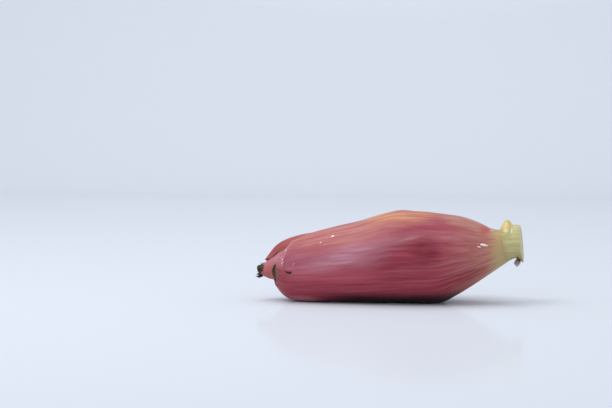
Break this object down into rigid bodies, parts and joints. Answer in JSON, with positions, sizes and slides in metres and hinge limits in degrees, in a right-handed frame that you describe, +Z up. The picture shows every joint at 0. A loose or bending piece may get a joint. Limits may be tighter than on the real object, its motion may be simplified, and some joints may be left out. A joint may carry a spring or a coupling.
{
  "type": "banana blossom",
  "caption": "Fresh banana blossom lying on its belly: overlapping crimson bracts round a closed heart, with a short cut stem at one end and a dried tip at the other.",
  "frame": {"origin": "on the resting surface, under the middle of the blossom's box", "axes": "+X from the pointed tip towards the cut stem, +Z up, -Y the side on which the outermost bract faces"},
  "size_m": [0.2369, 0.0822, 0.0818],
  "materials": {
    "front_bract": "smooth waxy crimson skin with a faint pale bloom, satin, tan along the upper margin and yellow-green at the stem end",
    "back_bract": "smooth waxy brownish red skin, satin, with a dried dark point",
    "belly_bract": "smooth waxy crimson skin, satin, with a dark dried edge at its end",
    "inner_bract": "smooth pale pink skin, satin, frayed and dark at the tip",
    "young_bract": "smooth pale cream pink skin, satin",
    "floret": "smooth pale cream yellow, satin",
    "heart": "smooth pale pinkish cream, satin, dark at the tip",
    "stem": "smooth ribbed yellow-green skin with a pale cut face, satin"
  },
  "bodies": {
    "root": {"front_bract": "front_bract", "back_bract": "back_bract", "belly_bract": "belly_bract", "inner_bract_1": "inner_bract", "inner_bract_2": "inner_bract", "inner_bract_3": "inner_bract", "young_bract_1": "young_bract", "young_bract_2": "young_bract", "floret_hand_1": "floret", "floret_hand_2": "floret", "floret_hand_3": "floret", "floret_hand_4": "floret", "floret_hand_5": "floret", "floret_hand_6": "floret", "heart": "heart", "cut_stem": "stem"}
  },
  "joints": []
}
